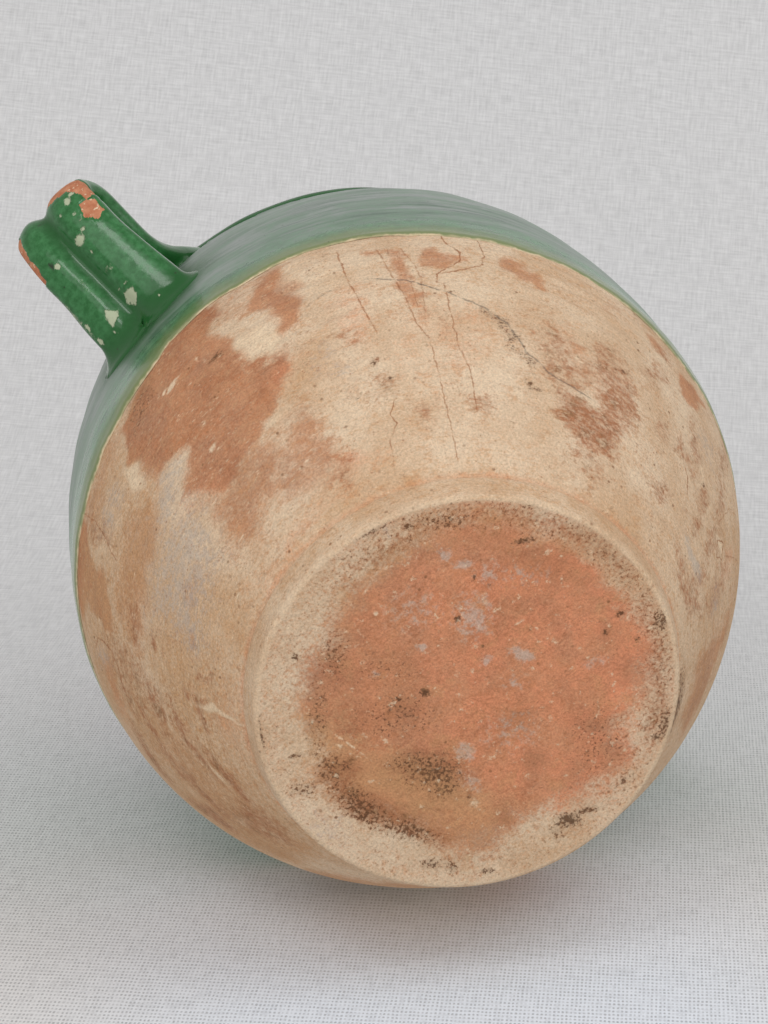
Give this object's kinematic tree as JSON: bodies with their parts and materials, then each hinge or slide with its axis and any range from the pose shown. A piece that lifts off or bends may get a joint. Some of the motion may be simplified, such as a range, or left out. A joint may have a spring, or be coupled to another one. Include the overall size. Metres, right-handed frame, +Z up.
{
  "type": "confit pot",
  "caption": "Wide-mouthed earthenware confit pot with a rounded belly, rolled rim and grooved strap handles, green glaze above and bare clay below.",
  "frame": {"origin": "middle of the flat underside", "axes": "+Z up along the pot's turning axis, handles along Y, +Y towards the handle that the picture shows"},
  "size_m": [0.2628, 0.364, 0.266],
  "materials": {
    "bare_clay": "matte, worn and stained",
    "handle_clay": "matte",
    "green_glaze": "glossy",
    "honey_glaze": "glossy"
  },
  "bodies": {
    "root": {"thrown_body": "bare_clay", "front_handle": "handle_clay", "back_handle": "handle_clay", "outer_glaze": "green_glaze", "inner_glaze": "honey_glaze"}
  },
  "joints": []
}
